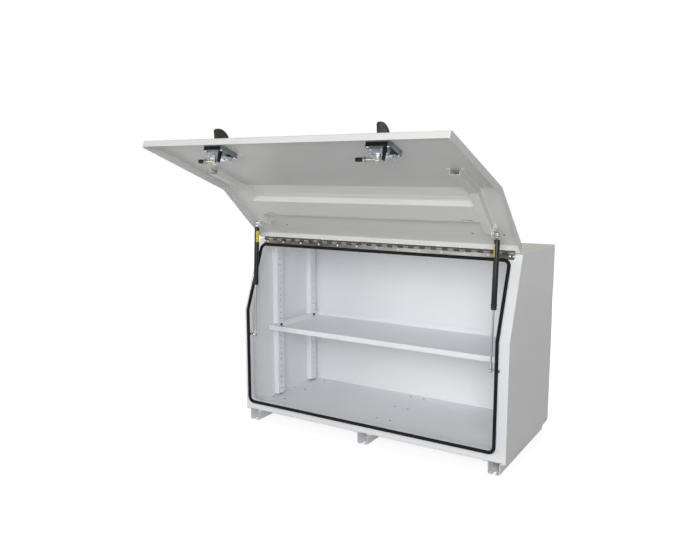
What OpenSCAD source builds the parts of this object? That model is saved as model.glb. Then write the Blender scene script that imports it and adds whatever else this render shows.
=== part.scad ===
// Aluminium toolbox on three feet with a fold-up lid, drawn with the lid open.
// Every lid piece is modelled closed and then swung open about the hinge pin.

/* [Body] */
// Width across the two side panels, mm
body_w = 1280; // [1200:10:1400]
// Depth at the floor, mm
body_d = 585; // [540:5:660]
// Height of the body above its feet, mm
body_h = 805; // [790:5:840]
// Height of the front's fold above the floor, mm
fold_h = 483; // [470:1:495]
// How far the top edge stands behind the floor's front edge, mm
setback = 125; // [115:1:135]
// Height of the feet, mm
foot_h = 50; // [40:1:60]
// Width of each foot's channel, mm
foot_w = 50; // [40:1:60]
// Distance from a side panel to its foot, mm
foot_in = 22; // [22:1:40]
// Thickness of the body and lid sheet, mm
sheet = 2.5; // [2:0.5:3]
// Inside radius of the sheet's bends, mm
bend_r = 3; // [2:0.5:4]
// Height of the shelf above the floor, mm
shelf_up = 355; // [320:5:360]

/* [Doorway] */
// From the side panels to the middle of the doorway's flange, mm
seal_in = 40; // [38:0.5:42]
// From the floor to the middle of the doorway's flange, mm
seal_up = 48.5; // [46:0.5:48.5]
// From the top edge down the slope to the middle of the flange, mm
seal_down = 33; // [32.5:0.5:36]
// Corner radius in the middle of the doorway's flange, mm
door_r = 24; // [20:1:30]
// Width of the seal, mm
seal_w = 12; // [10:0.5:12]

/* [Lid] */
// From the body's front to the lid's outer skin, mm
lid_off = 36; // [34:0.5:38]
// How far the lid stands inside the body's sides, mm
lid_in = 8; // [6:0.5:10]
// Depth of the lid's side returns, mm
side_ret = 28; // [24:0.5:28]
// Depth of the lip along the lid's lower edge, mm
lip_d = 25; // [20:0.5:26]
// How far the open lid has swung up, degrees
open_a = 110.5; // [100:0.5:112]
// Depth of the lid's channels, mm
hat_d = 22; // [18:0.5:23]
// From the middle to each upright channel's centre line, mm
hat_x = 530; // [528:1:531]

/* [Hinge] */
// Radius of the hinge's knuckles, mm
barrel_r = 4.5; // [4.2:0.1:5]
// Thickness of the hinge's leaves, mm
leaf_t = 1.5; // [1.2:0.1:1.6]
// Width of each hinge leaf, mm
leaf_w = 25; // [23:0.5:25]
// Diameter of the hinge pin, mm
pin_d = 4.5; // [4:0.1:4.8]
// Number of knuckles, the two leaves together
knuckles = 48; // [32:2:56]

/* [Latches] */
// From the middle to each latch's spindle, mm
latch_x = 345; // [300:5:400]
// From the lid's lower edge to the spindles, mm
latch_up = 103; // [103:0.5:110]
// From the spindle to the tip of the latch's sleeve, mm
arm_l = 82; // [78:0.5:83]
// Diameter of the latch's sleeve, mm
sleeve_d = 14.5; // [12:0.5:14.5]
// Height of the raised handle above the lid's skin, mm
handle_h = 78; // [66:1:84]
// Length of the handle's crossbar, mm
handle_w = 82; // [76:1:90]

/* [Struts] */
// From the middle to each gas strut, mm
strut_x = 572; // [571:0.5:574]
// Diameter of the struts' cylinders, mm
cyl_d = 22; // [18:0.5:22]
// Diameter of the struts' rods, mm
rod_d = 8; // [8:0.5:10]
// Diameter of the struts' lower balls, mm
ball_d = 11; // [10:0.5:11]

/* [Hidden] */
// Gap between pieces that move past one another
run_gap = 0.35;
// Joint line left where a mitred piece meets its other half
mitre = 0.06;
// Radial play of the hinge pin
pin_play = 0.1;
// Radial play of sliding and turning fits
slide_play = 0.3;
socket_r = ball_d / 2 + slide_play + 0.15;
front_y = -body_d / 2;
back_y = body_d / 2;
side_x = body_w / 2;
floor_z = foot_h;
fold_z = foot_h + fold_h;
top_z = foot_h + body_h;
slope_a = atan(setback / (body_h - fold_h));
slope_l = norm([setback, body_h - fold_h]);
door_x = side_x - seal_in;
// How far the folded frame reaches round onto the floor and the top
frame_ret = 24;
// The seal stops this far short of the closed lid
seal_front = lid_off - sheet - run_gap;
flange_out = seal_front - 9;
// The hinge's axis rests its knuckles on the slope's plane, just above its end
hinge_s = slope_l + 1;
hinge_y = front_y + hinge_s * sin(slope_a) - barrel_r * cos(slope_a);
hinge_z = fold_z + hinge_s * cos(slope_a) + barrel_r * sin(slope_a);
hinge_half = side_x - 31;
knuckle_l = 2 * hinge_half / knuckles;
// The closed lid's outline
lid_x = side_x - lid_in;
lid_y = front_y - lid_off;
lid_fold_z = fold_z + lid_off * tan(slope_a / 2);
ret_z = hinge_z + barrel_r - leaf_t;
lid_b = (ret_z - lid_fold_z) / cos(slope_a);
crown_y = lid_y + lid_b * sin(slope_a);
lid_a = lid_fold_z - floor_z;
// Channels on the lid
hat_face = 16.5;
hat_foot = 32;
cross_v = [52, 76, 80, 173, 177, 200];
// Struts: lower ball on the doorway's flange, upper stud on the lid
low_y = front_y - 12;
low_z = fold_z - 112;
up_v = lid_b - 122;
up_d = 38;
shut = [lid_y + up_v * sin(slope_a) + up_d * cos(slope_a),
        lid_fold_z + up_v * cos(slope_a) - up_d * sin(slope_a)];
arm = [shut[0] - hinge_y, shut[1] - hinge_z];
open = [hinge_y + arm[0] * cos(open_a) + arm[1] * sin(open_a),
        hinge_z - arm[0] * sin(open_a) + arm[1] * cos(open_a)];
strut_open = norm([open[0] - low_y, open[1] - low_z]);
strut_shut = norm([shut[0] - low_y, shut[1] - low_z]);
lean = atan2(open[0] - low_y, open[1] - low_z);
cyl_l = strut_shut - 60;
cyl_z = strut_open - 22 - cyl_l;
guide_l = 25;
// Latch depths below the lid's outer skin
rod_depth = 47;
arm_d = 11;
dish_w = 94;
dish_off = 15;
pivot_h = 9.5;
pivot_d = 5;
// Shelf and strips
strip_d = 25;
strip_w = 50;
strip_x = side_x - sheet - strip_d;
strip_y = [front_y + 241, back_y - 55];
hole_pitch = 30;
shelf_z = floor_z + shelf_up;
shelf_front = front_y + 147;
shelf_lip = 25;
foot_y = [front_y + 15, front_y + 192, front_y + 370, back_y - 37];
screw_d = 4.8;
slot_w = 11;

// Folded sheet sections
function unit(v) = v / norm(v);
function lhs(v) = [-v[1], v[0]];
function turned(v, a) = [v[0] * cos(a) - v[1] * sin(a), v[0] * sin(a) + v[1] * cos(a)];
// Points round one bend, on the face that lies `off` to the left of the path
function bend(a, b, c, t, r, off) =
    let (d = unit(b - a), e = unit(c - b), cr = d[0] * e[1] - d[1] * e[0], s = cr > 0 ? 1 : -1,
         ang = acos(min(1, d * e)), base = s > 0 ? r + t : r, start = b - d * base * tan(ang / 2),
         centre = start + s * base * lhs(d), n = ang > 40 ? 5 : 2)
    [for (k = [0 : n]) centre - s * (base - s * off) * lhs(turned(d, s * ang * k / n))];
function face_line(p, t, r, off) =
    let (m = len(p) - 1)
    concat([p[0] + off * lhs(unit(p[1] - p[0]))],
           [for (i = [1 : m - 1]) for (q = bend(p[i - 1], p[i], p[i + 1], t, r, off)) q],
           [p[m] + off * lhs(unit(p[m] - p[m - 1]))]);
function reversed(v) = [for (i = [len(v) - 1 : -1 : 0]) v[i]];
function ring_line(p, r) =
    let (m = len(p))
    [for (i = [0 : m - 1]) for (q = bend(p[(i + m - 1) % m], p[i], p[(i + 1) % m], 0, r, 0)) q];

module folded(p, t = sheet, r = bend_r) {
    polygon(concat(face_line(p, t, r, 0), reversed(face_line(p, t, r, t))));
}

module along_x(x0, x1) {
    translate([x0, 0, 0]) rotate([90, 0, 90]) linear_extrude(x1 - x0) children();
}

// A drawing in x and z, given depth from y0 back to y1
module facing(y0, y1) {
    translate([0, y1, 0]) rotate([90, 0, 0]) linear_extrude(y1 - y0) children();
}

module rounded_rect(w, h, r) {
    square([w - 2 * r, h], center = true);
    square([w, h - 2 * r], center = true);
    for (i = [-1, 1]) for (j = [-1, 1]) translate([i * (w / 2 - r), j * (h / 2 - r)]) circle(r, $fn = 32);
}

// A rivet or screw along +z: domed head above zero, shank below, blind tail under the grip
module rivet(d, head_d, head_h, grip, tail) {
    cylinder(d = head_d, h = head_h * 0.4, $fn = 32);
    translate([0, 0, head_h * 0.4]) cylinder(d1 = head_d, d2 = head_d * 0.55, h = head_h * 0.6, $fn = 32);
    translate([0, 0, -grip]) cylinder(d = d, h = grip, $fn = 32);
    if (tail > 0) translate([0, 0, -grip - tail]) cylinder(d = d * 1.35, h = tail, $fn = 32);
}

module hex(af, h) {
    cylinder(d = af / cos(30), h = h, $fn = 6);
}

module opened() {
    translate([0, hinge_y, hinge_z]) rotate([-open_a, 0, 0]) translate([0, -hinge_y, -hinge_z]) children();
}

module on_slope() {
    translate([0, front_y, fold_z]) rotate([-slope_a, 0, 0]) children();
}

// Half spaces either side of a fold's bisector, for a fold line at y, z, a hair short of it
module below(y, z) {
    translate([0, y, z]) rotate([-slope_a / 2, 0, 0])
        translate([-body_w, -400, -900 - mitre / 2]) cube([2 * body_w, 800, 900]);
}

module above(y, z) {
    translate([0, y, z]) rotate([-slope_a / 2, 0, 0])
        translate([-body_w, -400, mitre / 2]) cube([2 * body_w, 800, 900]);
}

// Body
wrap_path = [[front_y + frame_ret, floor_z], [back_y, floor_z], [back_y, top_z],
             [front_y + setback + frame_ret, top_z]];
frame_path = [[front_y + setback + frame_ret, top_z], [front_y + setback, top_z], [front_y, fold_z],
              [front_y, floor_z], [front_y + frame_ret, floor_z]];
side_path = [[front_y, floor_z], [back_y, floor_z], [back_y, top_z], [front_y + setback, top_z],
             [front_y, fold_z]];

module side_panel() {
    along_x(side_x - sheet, side_x) polygon(ring_line(side_path, bend_r + sheet));
}

module left_side() {
    color("silver") mirror([1, 0, 0]) side_panel();
}

module right_side() {
    color("silver") side_panel();
}

module body_wrap() {
    color("silver")
    difference() {
        along_x(-side_x + sheet, side_x - sheet) folded(wrap_path);
        for (p = foot_points) translate([p[0], p[1], floor_z - 1])
            cylinder(d = screw_d, h = sheet + 2, $fn = 32);
    }
}

// A section swept up one leg, along the sill and up the other leg; u points out, v forward
module door_u(h) {
    for (s = [0, 1]) mirror([s, 0, 0]) {
        translate([door_x, 0, door_r]) linear_extrude(h - door_r) mirror([0, 1, 0]) children();
        translate([door_x - door_r, 0, door_r]) rotate([90, 0, 0]) rotate([0, 0, -90])
            rotate_extrude(angle = 90, $fn = 64) translate([door_r, 0]) children();
    }
    translate([-(door_x - door_r), 0, 0]) rotate([90, 0, 90]) linear_extrude(2 * (door_x - door_r))
        rotate(90) children();
}

// The whole run round the doorway, mitred at the front's fold
module door_run() {
    intersection() {
        translate([0, front_y, floor_z + seal_up]) door_u(fold_h - seal_up + 40) children();
        below(front_y, fold_z);
    }
    intersection() {
        on_slope() translate([0, 0, slope_l - seal_down]) mirror([0, 0, 1]) door_u(slope_l - seal_down + 40)
            children();
        above(front_y, fold_z);
    }
}

module door_cut(h) {
    x = door_x + sheet / 2;
    r = door_r + sheet / 2;
    facing(-1, sheet + 1) {
        translate([-x, r - sheet / 2]) square([2 * x, h - r]);
        translate([-(x - r), -sheet / 2]) square([2 * (x - r), r + 1]);
        for (s = [-1, 1]) translate([s * (x - r), r - sheet / 2]) circle(r, $fn = 64);
    }
}

module front_frame() {
    color("silver")
    difference() {
        along_x(-side_x + sheet, side_x - sheet) folded(frame_path);
        translate([0, front_y, floor_z + seal_up]) door_cut(fold_h - seal_up - 40);
        translate([-door_x - sheet / 2 - mitre, front_y - 10, fold_z - 50])
            cube([2 * (door_x + sheet / 2 + mitre), 50, 100]);
        on_slope() translate([0, 0, slope_l - seal_down]) mirror([0, 0, 1]) door_cut(slope_l - seal_down - 40);
        for (x = leaf_screw_x) on_slope() translate([x, -1, hinge_s - 11]) rotate([-90, 0, 0])
            cylinder(d = screw_d, h = sheet + 2, $fn = 32);
        for (p = foot_points) if (p[1] < front_y + frame_ret)
            translate([p[0], p[1], floor_z - 1]) cylinder(d = screw_d, h = sheet + 2, $fn = 32);
    }
}

// Upstand welded round the doorway's edge, which carries the seal and the struts' lower studs
module door_flange() {
    color("silver")
    difference() {
        door_run() translate([-sheet / 2, -sheet]) square([sheet, flange_out + sheet]);
        for (s = [-1, 1]) translate([s * door_x - 5, low_y, low_z]) rotate([0, 90, 0])
            cylinder(d = 8, h = 10, $fn = 32);
    }
}

// Rubber: a clip over the flange's edge and a round bulb in front of it
module door_seal() {
    color("#1a1a1a") door_run() difference() {
        union() {
            translate([-seal_w / 2 + 0.8, flange_out - 5]) square([seal_w - 1.6, 8]);
            translate([0, seal_front - seal_w / 2]) circle(seal_w / 2, $fn = 32);
        }
        translate([-sheet / 2, flange_out - 6]) square([sheet, 6]);
    }
}

// Feet
foot_x = side_x - foot_in - foot_w / 2;
foot_path = [[-foot_w / 2 - 21, foot_h - sheet], [-foot_w / 2, foot_h - sheet], [-foot_w / 2, 0],
             [foot_w / 2, 0], [foot_w / 2, foot_h - sheet], [foot_w / 2 + 21, foot_h - sheet]];
foot_points = [for (x = [-foot_x, 0, foot_x]) for (s = [-1, 1]) for (y = foot_y)
               [x + s * (foot_w / 2 + 10), y]];

module foot() {
    difference() {
        facing(front_y, back_y) folded(foot_path);
        for (s = [-1, 1]) {
            translate([-slot_w / 2, s > 0 ? back_y - 22 : front_y - 1, -1]) cube([slot_w, 23, sheet + 2]);
            translate([0, s * (back_y - 22), -1]) cylinder(d = slot_w, h = sheet + 2, $fn = 32);
        }
        for (s = [-1, 1]) for (y = foot_y) translate([s * (foot_w / 2 + 10), y, foot_h - sheet - 1])
            cylinder(d = screw_d, h = sheet + 2, $fn = 32);
    }
}

module left_foot() {
    color("silver") translate([-foot_x, 0, 0]) foot();
}

module centre_foot() {
    color("silver") foot();
}

module right_foot() {
    color("silver") translate([foot_x, 0, 0]) foot();
}

module foot_rivets() {
    color("gray") for (p = foot_points) translate([p[0], p[1], floor_z + sheet])
        rivet(screw_d, 9.5, 2.2, 2 * sheet, 2);
}

// Shelf and strips
module strip() {
    difference() {
        translate([0, 0, floor_z + 12]) linear_extrude(top_z - floor_z - 24)
            folded([[strip_d, strip_w / 2], [0, strip_w / 2], [0, -strip_w / 2], [strip_d, -strip_w / 2]], 2, 2);
        for (k = [-11 : 12]) let (z = shelf_z + 12 + k * hole_pitch)
            if (z > floor_z + 30 && z < top_z - 60)
                translate([-1, 0, z]) rotate([0, 90, 0]) cylinder(d = 8, h = 4, $fn = 32);
    }
}

module place_strip(s, i) {
    mirror([s, 0, 0]) translate([strip_x, strip_y[i], 0]) strip();
}

module left_front_strip() {
    color("silver") place_strip(1, 0);
}

module left_rear_strip() {
    color("silver") place_strip(1, 1);
}

module right_front_strip() {
    color("silver") place_strip(0, 0);
}

module right_rear_strip() {
    color("silver") place_strip(0, 1);
}

module shelf() {
    w = strip_x;
    y1 = back_y - sheet - 0.5;
    color("silver") difference() {
        union() {
            along_x(-w + 2, w - 2)
                folded([[shelf_front, shelf_z + shelf_lip], [shelf_front, shelf_z], [y1, shelf_z],
                                   [y1, shelf_z + shelf_lip]], 2, 2);
            for (s = [-1, 1]) translate([s > 0 ? w - 2 : -w, shelf_front, shelf_z])
                cube([2, y1 - shelf_front, shelf_lip]);
        }
        for (s = [-1, 1]) for (y = strip_y) translate([s * w - 4, y, shelf_z + 12]) rotate([0, 90, 0])
            cylinder(d = 8, h = 8, $fn = 32);
    }
}

module shelf_bolts() {
    color("dimgray") for (s = [0, 1]) for (y = strip_y) mirror([s, 0, 0])
        translate([strip_x - 2, y, shelf_z + 12]) rotate([0, 90, 0]) {
            cylinder(d = 8, h = 16, $fn = 32);
            translate([0, 0, -5]) hex(13, 5);
            translate([0, 0, 4]) hex(13, 6);
        }
}

// Hinge
leaf_screw_x = concat([for (i = [-5 : 5]) i * 100], [-604, -589, 589, 604] * (hinge_half / 609));
function knuckle_x(i) = -hinge_half + i * knuckle_l;

// A plate running from the knuckles, z along the leaf, cleared round the other leaf's knuckles
module leaf_plate(odd) {
    difference() {
        facing(0, leaf_t) {
            translate([-hinge_half, -leaf_w + 8]) square([2 * hinge_half, leaf_w - 9.2]);
            translate([-hinge_half + 8, -leaf_w]) square([2 * hinge_half - 16, 9]);
            for (s = [-1, 1]) translate([s * (hinge_half - 8), -leaf_w + 8]) circle(8, $fn = 32);
        }
        for (i = [1 - odd : 2 : knuckles - 1])
            translate([knuckle_x(i) - run_gap, -1, -barrel_r - 0.6])
                cube([knuckle_l + 2 * run_gap, leaf_t + 2, barrel_r + 1]);
    }
}

module knuckle_row(odd) {
    for (i = [odd : 2 : knuckles - 1])
        along_x(knuckle_x(i) + run_gap / 2, knuckle_x(i) + knuckle_l - run_gap / 2) difference() {
            circle(barrel_r, $fn = 32);
            circle(pin_d / 2 + pin_play, $fn = 32);
        }
}

// The body's leaf lies on the slope, its knuckles standing in front of it
module body_leaf() {
    color("gray") difference() {
        union() {
            on_slope() translate([0, -leaf_t, hinge_s]) leaf_plate(0);
            translate([0, hinge_y, hinge_z]) knuckle_row(0);
        }
        translate([0, hinge_y, hinge_z]) rotate([0, 90, 0])
            cylinder(r = pin_d / 2 + pin_play, h = 2 * hinge_half + 2, center = true, $fn = 32);
        for (x = leaf_screw_x) on_slope() translate([x, -leaf_t - 1, hinge_s - 11]) rotate([-90, 0, 0])
            cylinder(d = screw_d, h = leaf_t + 2, $fn = 32);
    }
}

module hinge_pin() {
    color("gray") translate([0, hinge_y, hinge_z]) rotate([0, 90, 0])
        cylinder(d = pin_d, h = 2 * hinge_half + 1, center = true, $fn = 32);
}

module leaf_screws() {
    color("lightgray") for (x = leaf_screw_x) on_slope()
        translate([x, -leaf_t, hinge_s - 11]) rotate([90, 0, 0])
        rivet(screw_d, 9, 2, leaf_t + sheet, 2);
}

module lid_leaf_holes(d, h) {
    for (i = [-6 : 6]) translate([i * 95, hinge_y - 14, ret_z - h / 2]) cylinder(d = d, h = h, $fn = 32);
}

module lid_leaf() {
    color("gray") opened() difference() {
        union() {
            translate([0, hinge_y, ret_z]) rotate([-90, 0, 0]) mirror([0, 1, 0]) leaf_plate(1);
            translate([0, hinge_y, hinge_z]) knuckle_row(1);
        }
        translate([0, hinge_y, hinge_z]) rotate([0, 90, 0])
            cylinder(r = pin_d / 2 + pin_play, h = 2 * hinge_half + 2, center = true, $fn = 32);
        lid_leaf_holes(screw_d, 10);
    }
}

module lid_leaf_rivets() {
    color("lightgray") opened() for (i = [-6 : 6]) translate([i * 95, hinge_y - 14, ret_z + leaf_t])
        rivet(screw_d, 8, 1.6, leaf_t + sheet, 1.5);
}

// Lid
lid_path = [[hinge_y - barrel_r - 0.6, ret_z], [crown_y, ret_z], [lid_y, lid_fold_z], [lid_y, floor_z],
            [lid_y + lip_d, floor_z]];
lid_side = [[crown_y + side_ret / cos(slope_a) - 9, ret_z], [crown_y, ret_z], [lid_y, lid_fold_z],
            [lid_y, floor_z], [lid_y + side_ret, floor_z],
            [lid_y + side_ret, lid_fold_z - side_ret * tan(slope_a / 2)],
            [crown_y + side_ret / cos(slope_a) - 9 * sin(slope_a) * sin(slope_a),
             ret_z - 9 * sin(slope_a) * cos(slope_a)]];

module on_lid_a() {
    translate([0, lid_y, lid_fold_z]) children();
}

module on_lid_b() {
    translate([0, lid_y, lid_fold_z]) rotate([-slope_a, 0, 0]) children();
}

module latch_at(s) {
    opened() translate([s * latch_x, lid_y, floor_z + latch_up]) children();
}

module lid_skin() {
    color("silver") difference() {
        opened() difference() {
            union() {
                along_x(-lid_x + sheet, lid_x - sheet) folded(lid_path);
                for (s = [0, 1]) mirror([s, 0, 0]) along_x(lid_x - sheet, lid_x)
                    polygon(concat([lid_side[0]], bend(lid_side[0], lid_side[1], lid_side[2], sheet, bend_r, 0),
                                   bend(lid_side[1], lid_side[2], lid_side[3], sheet, bend_r, 0),
                                   bend(lid_side[2], lid_side[3], lid_side[4], sheet, bend_r, 0),
                                   [lid_side[4], lid_side[5], lid_side[6]]));
            }
            lid_leaf_holes(screw_d, 10);
            for (x = lid_rivet_x) on_lid_b() translate([x, -1, lid_b - 69]) rotate([-90, 0, 0])
                cylinder(d = screw_d, h = sheet + 2, $fn = 32);
        }
        for (s = [-1, 1]) latch_at(s) {
            facing(-1, sheet + 1) translate([dish_off, 0]) rounded_rect(dish_w + 0.6, dish_w + 0.6, 8);
            for (p = plate_points) translate([p[0] + dish_off, -1, p[1]]) rotate([-90, 0, 0])
                cylinder(d = screw_d, h = sheet + 2, $fn = 32);
        }
    }
}

hat_path = [[-hat_foot, sheet], [-hat_face - 1.5, sheet], [-hat_face, hat_d + sheet],
            [hat_face, hat_d + sheet], [hat_face + 1.5, sheet], [hat_foot, sheet]];

// An upright channel runs down the inside of the lid, mitred where the lid folds
module channel() {
    opened() translate([hat_x, 0, 0]) {
        intersection() {
            on_lid_a() translate([0, 0, -190]) linear_extrude(240) folded(hat_path, 2, 2);
            below(lid_y, lid_fold_z);
        }
        intersection() {
            on_lid_b() translate([0, 0, -50]) linear_extrude(lid_b - 99 + 50) folded(hat_path, 2, 2);
            above(lid_y, lid_fold_z);
        }
    }
}

module left_channel() {
    color("silver") mirror([1, 0, 0]) channel();
}

module right_channel() {
    color("silver") channel();
}

cross_path = [[sheet, cross_v[5]], [sheet, cross_v[4]], [sheet + hat_d, cross_v[3]],
              [sheet + hat_d, cross_v[2]], [sheet, cross_v[1]], [sheet, cross_v[0]]];

module cross_channel() {
    half = hat_x - hat_foot - 0.5;
    color("silver") opened() on_lid_b() difference() {
        union() {
            along_x(-half, half) folded(cross_path, 2, 2);
            for (s = [0, 1]) mirror([s, 0, 0]) along_x(half - 2, half + hat_foot - hat_face - 6.5)
                polygon([[sheet + 2.4, cross_v[4] + 0.4], [sheet + hat_d + 1, cross_v[3] + 0.8],
                         [sheet + hat_d + 1, cross_v[2] - 0.8], [sheet + 2.4, cross_v[1] - 0.4]]);
        }
        for (s = [-1, 1]) translate([s * (half - 35), sheet + hat_d + 2, 162]) rotate([90, 0, 0]) {
            translate([0, 0, -2]) linear_extrude(8) {
                square([44, 5], center = true);
                for (e = [-1, 1]) translate([e * 22, 0]) circle(2.5, $fn = 32);
            }
        }
    }
}

lid_rivet_x = [-577, -448, 448, 577];

module lid_rivets() {
    color("lightgray") opened() for (x = lid_rivet_x) on_lid_b()
        translate([x, sheet, lid_b - 69]) rotate([-90, 0, 0])
        rivet(screw_d, 9, 2, sheet, 1.5);
}

// Gas struts
plate_x = 552.5;

module bracket() {
    d0 = sheet + 2;
    opened() on_lid_b() {
        translate([plate_x + 2, d0, up_v - 14]) cube([8, 2.5, 26]);
        difference() {
            along_x(plate_x, plate_x + 2.5) {
                translate([d0, up_v - 14]) square([up_d - d0 + 2, 26]);
                translate([up_d + 2, up_v - 1]) circle(13, $fn = 32);
            }
            translate([plate_x - 1, up_d, up_v]) rotate([0, 90, 0]) cylinder(d = 8, h = 5, $fn = 32);
        }
    }
}

module left_bracket() {
    color("lightgray") mirror([1, 0, 0]) bracket();
}

module right_bracket() {
    color("lightgray") bracket();
}

cyl_in = strut_x - cyl_d / 2;

// Stud through the bracket with a nut on each side; its face stops short of the strut
module upper_stud() {
    opened() on_lid_b() translate([0, up_d, up_v]) rotate([0, 90, 0]) {
        translate([0, 0, plate_x - 5]) hex(11, 5);
        translate([0, 0, plate_x]) cylinder(d = 8, h = cyl_in - plate_x - run_gap, $fn = 32);
        translate([0, 0, plate_x + 2.5]) hex(13, 5.5);
        translate([0, 0, cyl_in - run_gap - 3]) cylinder(d = 12, h = 3, $fn = 32);
    }
}

module left_upper_stud() {
    color("lightgray") mirror([1, 0, 0]) upper_stud();
}

module right_upper_stud() {
    color("lightgray") upper_stud();
}

// Ball, shank through the doorway's flange, collar inside and nut outside
module ball_stud() {
    inner = door_x - sheet / 2;
    translate([0, low_y, low_z]) {
        rotate([0, 90, 0]) {
            translate([0, 0, strut_x]) rotate_extrude($fn = 48)
                polygon([for (k = [-6 : 6]) ball_d / 2 * [cos(k * 15), sin(k * 15)]]);
            translate([0, 0, strut_x]) cylinder(d = 6, h = inner - strut_x - 1, $fn = 32);
            translate([0, 0, inner - 8]) hex(10, 8);
            translate([0, 0, inner - 1]) cylinder(d = 8, h = sheet + 9, $fn = 32);
            translate([0, 0, inner + sheet]) hex(12, 6);
        }
    }
}

module left_ball_stud() {
    color("lightgray") mirror([1, 0, 0]) ball_stud();
}

module right_ball_stud() {
    color("lightgray") ball_stud();
}

module in_strut() {
    translate([strut_x, low_y, low_z]) rotate([-lean, 0, 0]) children();
}

module strut_rod() {
    top = cyl_z + guide_l + 2;
    in_strut() {
        translate([0, 0, 26]) cylinder(d = rod_d, h = top - 26, $fn = 32);
        translate([0, 0, top]) cylinder(d = cyl_d - 4 - 2 * slide_play, h = 11, $fn = 48);
    }
}

// A cup round the ball, open towards the flange, with a neck that takes the rod
module rod_end() {
    in_strut() difference() {
        union() {
            rotate([0, 90, 0]) cylinder(d = 16, h = 12, center = true, $fn = 48);
            cylinder(d = 11.5, h = 26, $fn = 32);
        }
        rotate([0, 90, 0]) rotate_extrude($fn = 48)
            polygon(concat([for (k = [-6 : 2]) socket_r * [cos(k * 15), sin(k * 15)]], [[socket_r - 0.3, 8], [0, 8]]));
    }
}

module strut_cylinder() {
    in_strut() difference() {
        translate([0, 0, cyl_z]) cylinder(d = cyl_d, h = cyl_l, $fn = 64);
        translate([0, 0, cyl_z + guide_l]) cylinder(d = cyl_d - 4, h = cyl_l - guide_l - 5, $fn = 64);
        translate([0, 0, cyl_z - 1]) cylinder(d = rod_d + 2 * slide_play, h = guide_l + 2, $fn = 48);
    }
}

// Bright ring pressed round the cylinder near its lower end
module strut_collar() {
    in_strut() translate([0, 0, cyl_z + 14]) difference() {
        cylinder(d = cyl_d + 1.6, h = 8, $fn = 64);
        translate([0, 0, -1]) cylinder(d = cyl_d, h = 10, $fn = 64);
    }
}

module top_end() {
    in_strut() translate([0, 0, strut_open]) {
        rotate([0, 90, 0]) cylinder(d = 16, h = 13, center = true, $fn = 48);
        rotate([0, -90, 0]) cylinder(d = 12, h = cyl_d / 2, $fn = 32);
        translate([0, 0, -22]) cylinder(d = 9, h = 22, $fn = 32);
        translate([0, 0, -16]) cylinder(d = 12, h = 5, $fn = 32);
    }
}

module left_rod() {
    color("gainsboro") mirror([1, 0, 0]) strut_rod();
}

module left_rod_end() {
    color("#202020") mirror([1, 0, 0]) rod_end();
}

module left_cylinder() {
    color("#202020") mirror([1, 0, 0]) strut_cylinder();
}

module left_collar() {
    color("gainsboro") mirror([1, 0, 0]) strut_collar();
}

module left_top_end() {
    color("gainsboro") mirror([1, 0, 0]) top_end();
}

module right_rod() {
    color("gainsboro") strut_rod();
}

module right_rod_end() {
    color("#202020") rod_end();
}

module right_cylinder() {
    color("#202020") strut_cylinder();
}

module right_collar() {
    color("gainsboro") strut_collar();
}

module right_top_end() {
    color("gainsboro") top_end();
}

// Latches, drawn about the spindle: y is depth below the lid's outer skin, z is up
plate_points = [for (i = [-1, 1]) for (j = [-1, 1]) [i * 54.5, j * 52]];
dish_depth = 20;

// Zinc frame: a plate outside the skin and a wall that passes through it
module latch_frame() {
    translate([dish_off, 0, 0]) difference() {
        union() {
            facing(-2, 0) rounded_rect(124, 118, 8);
            facing(-1, dish_depth) rounded_rect(dish_w, dish_w, 8);
        }
        facing(-3, dish_depth + 1) rounded_rect(dish_w - 3, dish_w - 3, 6.5);
        translate([-dish_w, 5.5, -dish_w]) cube([1.5 * dish_w - 8, dish_depth, 2 * dish_w]);
        for (p = plate_points) translate([p[0], -3, p[1]]) rotate([-90, 0, 0])
            cylinder(d = screw_d, h = 5, $fn = 32);
    }
}

// Black dish inside the frame, its bottom pierced for the spindle and the corner screws
module latch_dish() {
    difference() {
        translate([dish_off, 0, 0]) difference() {
            facing(0, dish_depth) rounded_rect(dish_w - 3, dish_w - 3, 6.5);
            facing(-1, dish_depth - 2.5) rounded_rect(dish_w - 8, dish_w - 8, 4);
            for (p = corner_points) translate([p[0], 0, p[1]]) rotate([-90, 0, 0])
                cylinder(d = screw_d, h = dish_depth + 1, $fn = 32);
        }
        rotate([-90, 0, 0]) cylinder(d = 14 + 2 * slide_play, h = dish_depth + 1, $fn = 48);
    }
    translate([27, dish_depth - 1, -22]) cube([7, 37, 12]);
}

corner_points = [for (i = [-1, 1]) for (j = [-1, 1]) [i * 38, j * 38]];

module latch_screws() {
    translate([dish_off, 0, 0]) {
        for (p = plate_points) translate([p[0], -2, p[1]]) rotate([90, 0, 0])
            rivet(screw_d, 9, 2, sheet + 2, 0);
        for (p = corner_points) translate([p[0], dish_depth, p[1]]) rotate([-90, 0, 0])
            rivet(screw_d, 9, 2.4, 2.5, 0);
    }
}

// Cast housing behind the dish: block, lug, a low prong that the arm passes over, a high one that
// stops it, and the tab at the far corner
module latch_housing() {
    y0 = dish_depth;
    difference() {
        union() {
            facing(y0, 36) rounded_rect(52, 54, 6);
            translate([-22, 30, -27]) cube([5, 9.5, 7]);
            translate([17, 30, -27]) cube([5, 32, 7]);
            translate([-30, y0, -20]) cube([7, 20, 9]);
            translate([30, 24, 12]) cube([22, 4, 20]);
            translate([20, y0, 12]) cube([14, 11, 20]);
            translate([48, 24, 12]) cube([4, 18, 20]);
        }
        rotate([-90, 0, 0]) cylinder(d = 14 + 2 * slide_play, h = 60, $fn = 48);
    }
}

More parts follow.
